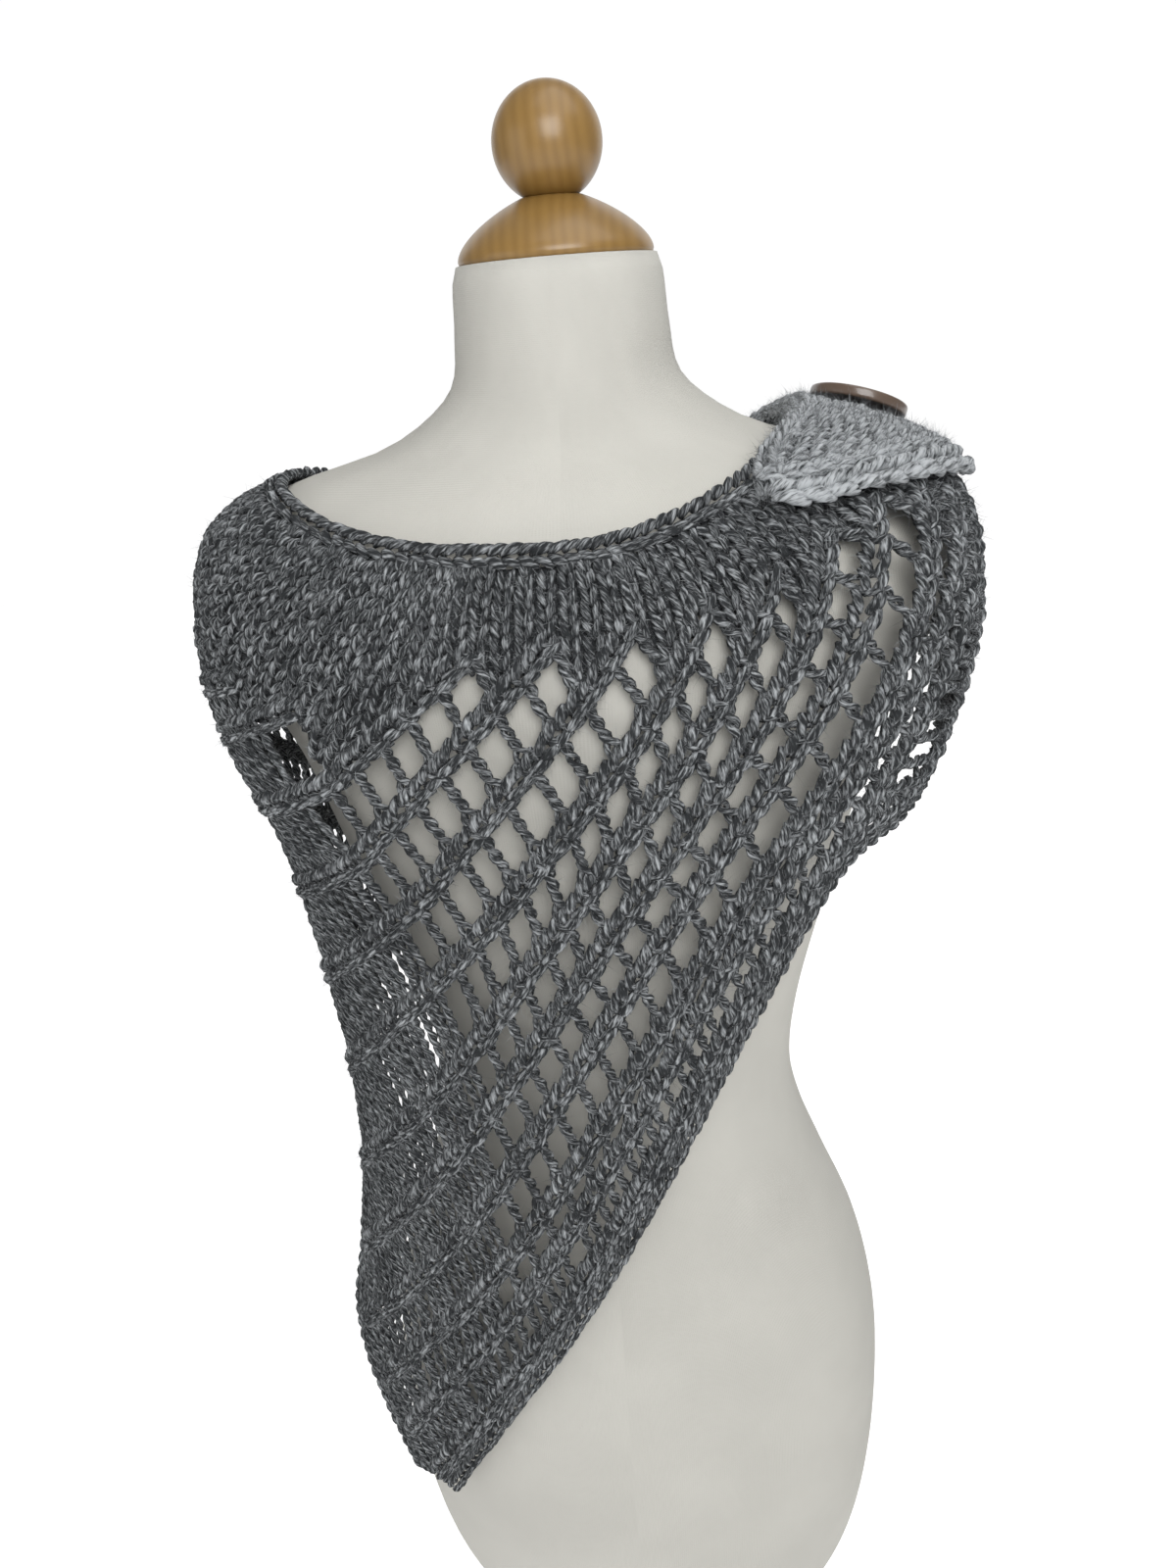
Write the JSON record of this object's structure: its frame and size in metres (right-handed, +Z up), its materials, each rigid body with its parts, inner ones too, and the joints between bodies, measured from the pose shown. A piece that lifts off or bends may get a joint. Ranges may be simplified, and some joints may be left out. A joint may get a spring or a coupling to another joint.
{
  "type": "lace shawl on a dress form",
  "caption": "Triangular knitted lace shawl with a plain yoke, neck edging, hem and a large button at the shoulder, draped on a limbless dress form with a domed neck cap and ball.",
  "frame": {"origin": "centre of the dress form's flat underside", "axes": "+Z up; the back of the dress form faces -Y; +X is to the right when the back is seen"},
  "size_m": [0.4273, 0.255, 1.0287],
  "materials": {
    "form_jersey": "off-white fine jersey cover, matt",
    "turned_wood": "clear-lacquered honey-coloured turned wood, satin",
    "yarn": "marled charcoal grey bulky yarn, matt with short fuzz",
    "button": "dark brown, smooth, with a lighter rim"
  },
  "bodies": {
    "root": {"form_torso": "form_jersey", "neck_cap": "turned_wood", "cap_ball": "turned_wood", "yoke_back": "yarn", "yoke_front": "yarn", "lace_back": "yarn", "lace_side": "yarn", "lace_front": "yarn", "neck_edging_back": "yarn", "neck_edging_front": "yarn", "hem_border_back": "yarn", "hem_border_front": "yarn", "shoulder_flap": "yarn", "flap_edging": "yarn", "button": "button"}
  },
  "joints": []
}
